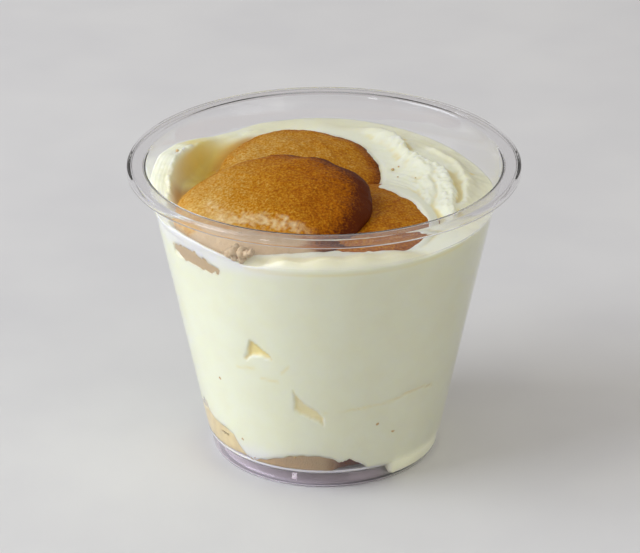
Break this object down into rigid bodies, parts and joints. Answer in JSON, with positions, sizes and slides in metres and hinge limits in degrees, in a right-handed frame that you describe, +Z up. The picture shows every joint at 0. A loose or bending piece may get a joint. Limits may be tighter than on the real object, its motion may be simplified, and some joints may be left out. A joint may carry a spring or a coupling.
{
  "type": "banana pudding cup",
  "caption": "Banana pudding with vanilla wafers pressed into its top, served in a squat clear plastic cup that tapers to a foot ring.",
  "frame": {"origin": "centre of the foot ring's underside, on the surface that the cup stands on", "axes": "+Z up along the cup's axis; the pictured side faces -Y, with +X to its right"},
  "size_m": [0.092, 0.092, 0.0737],
  "materials": {
    "clear_plastic": "gloss",
    "pudding": "satin",
    "wafer": "matte"
  },
  "bodies": {
    "root": {"cup": "clear_plastic", "pudding": "pudding", "wafer_front": "wafer", "wafer_back": "wafer", "wafer_right": "wafer", "wafer_bottom": "wafer", "wafer_broken": "wafer"}
  },
  "joints": []
}
